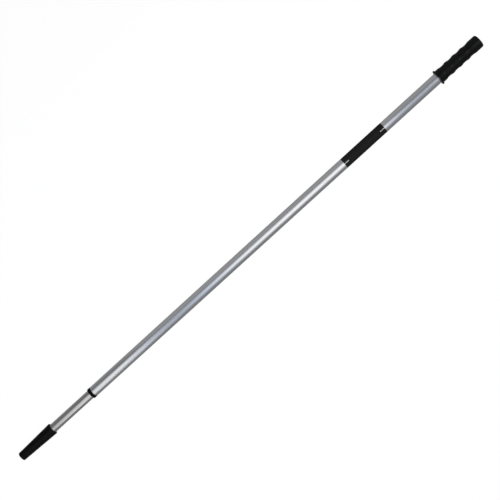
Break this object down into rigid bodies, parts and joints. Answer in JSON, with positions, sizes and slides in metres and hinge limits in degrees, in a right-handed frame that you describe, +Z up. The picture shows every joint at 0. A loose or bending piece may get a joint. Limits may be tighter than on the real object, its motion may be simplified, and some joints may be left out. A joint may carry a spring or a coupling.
{
  "type": "roller extension pole",
  "caption": "Telescopic two-section metal pole with a black finger grip, a guide collar, a blank label band and a tapered push-on tip for a roller frame.",
  "frame": {"origin": "on the ground under the middle of the pole, as it lies drawn out by 107 mm", "axes": "+X along the pole from the taper to the grip, +Z up; the pole's axis is 16.5 mm up, at the grip flange's radius"},
  "size_m": [1.2478, 0.033, 0.033],
  "materials": {
    "outer_metal": "satin silver, smooth",
    "inner_metal": "bare drawn metal, satin",
    "soft_grip": "soft black, faintly shiny",
    "black_moulding": "black moulded plastic",
    "taper_moulding": "black moulded plastic, semi-matt",
    "label_film": "black film with two pale dashes",
    "natural_nylon": "unpigmented nylon",
    "zinc_steel": "zinc plated"
  },
  "bodies": {
    "outer_section": {"outer_tube": "outer_metal", "end_collar": "black_moulding", "wrap_label": "label_film", "hand_grip": "soft_grip", "butt_plug": "black_moulding"},
    "sliding_collet": {"expander_collet": "natural_nylon"},
    "travelling_wedge": {"wedge_nut": "natural_nylon"},
    "inner_section": {"inner_tube": "inner_metal", "taper_tip": "taper_moulding", "tip_screw": "zinc_steel", "lock_plug": "natural_nylon", "lock_stud": "zinc_steel", "thrust_washer": "zinc_steel", "stop_washer": "zinc_steel", "lock_nut": "zinc_steel"}
  },
  "joints": [
    {"name": "pole_extend", "type": "slide", "parent": "outer_section", "child": "sliding_collet", "axis": [-1, 0, 0], "range_m": [-0.1072, 0.7515]},
    {"name": "lock_twist", "type": "hinge", "parent": "sliding_collet", "child": "inner_section", "pos_m": [0, 0, 0.0165], "axis": [1, 0, 0], "range_deg": [-360, 0]},
    {"name": "wedge_travel", "type": "slide", "parent": "sliding_collet", "child": "travelling_wedge", "axis": [1, 0, 0], "range_m": [0, 0.001]}
  ],
  "couplings": [
    {"joint": "wedge_travel", "follows": "lock_twist", "m_per_rad": -0.00015915}
  ]
}
